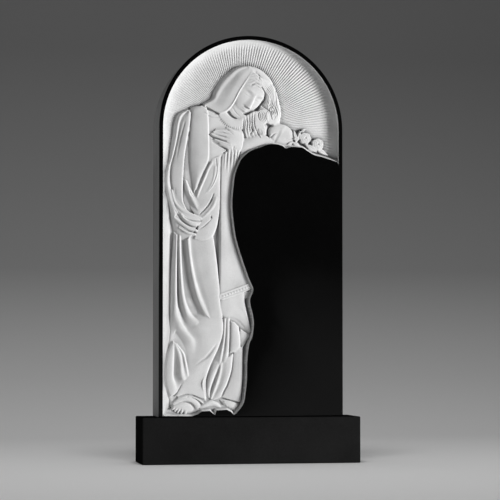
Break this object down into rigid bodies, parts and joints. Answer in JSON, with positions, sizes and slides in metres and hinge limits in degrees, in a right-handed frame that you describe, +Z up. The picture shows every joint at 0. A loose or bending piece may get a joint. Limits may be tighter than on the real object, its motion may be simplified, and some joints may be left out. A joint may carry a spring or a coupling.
{
  "type": "madonna headstone",
  "caption": "Upright arched granite headstone with a standing hooded figure carved in relief beside a bare polished panel, set on a low plinth.",
  "frame": {"origin": "middle of the plinth's underside, on the ground", "axes": "+Z up; the carved face looks along -Y; +X is to the right of someone facing the carving"},
  "size_m": [0.59, 0.15, 1.1453],
  "materials": {
    "black_granite": "mirror-polished black granite; the carved recess is left matte and pale grey",
    "plinth_granite": "polished black granite, slightly softer gloss"
  },
  "bodies": {
    "root": {"stele": "black_granite", "plinth": "plinth_granite"}
  },
  "joints": []
}
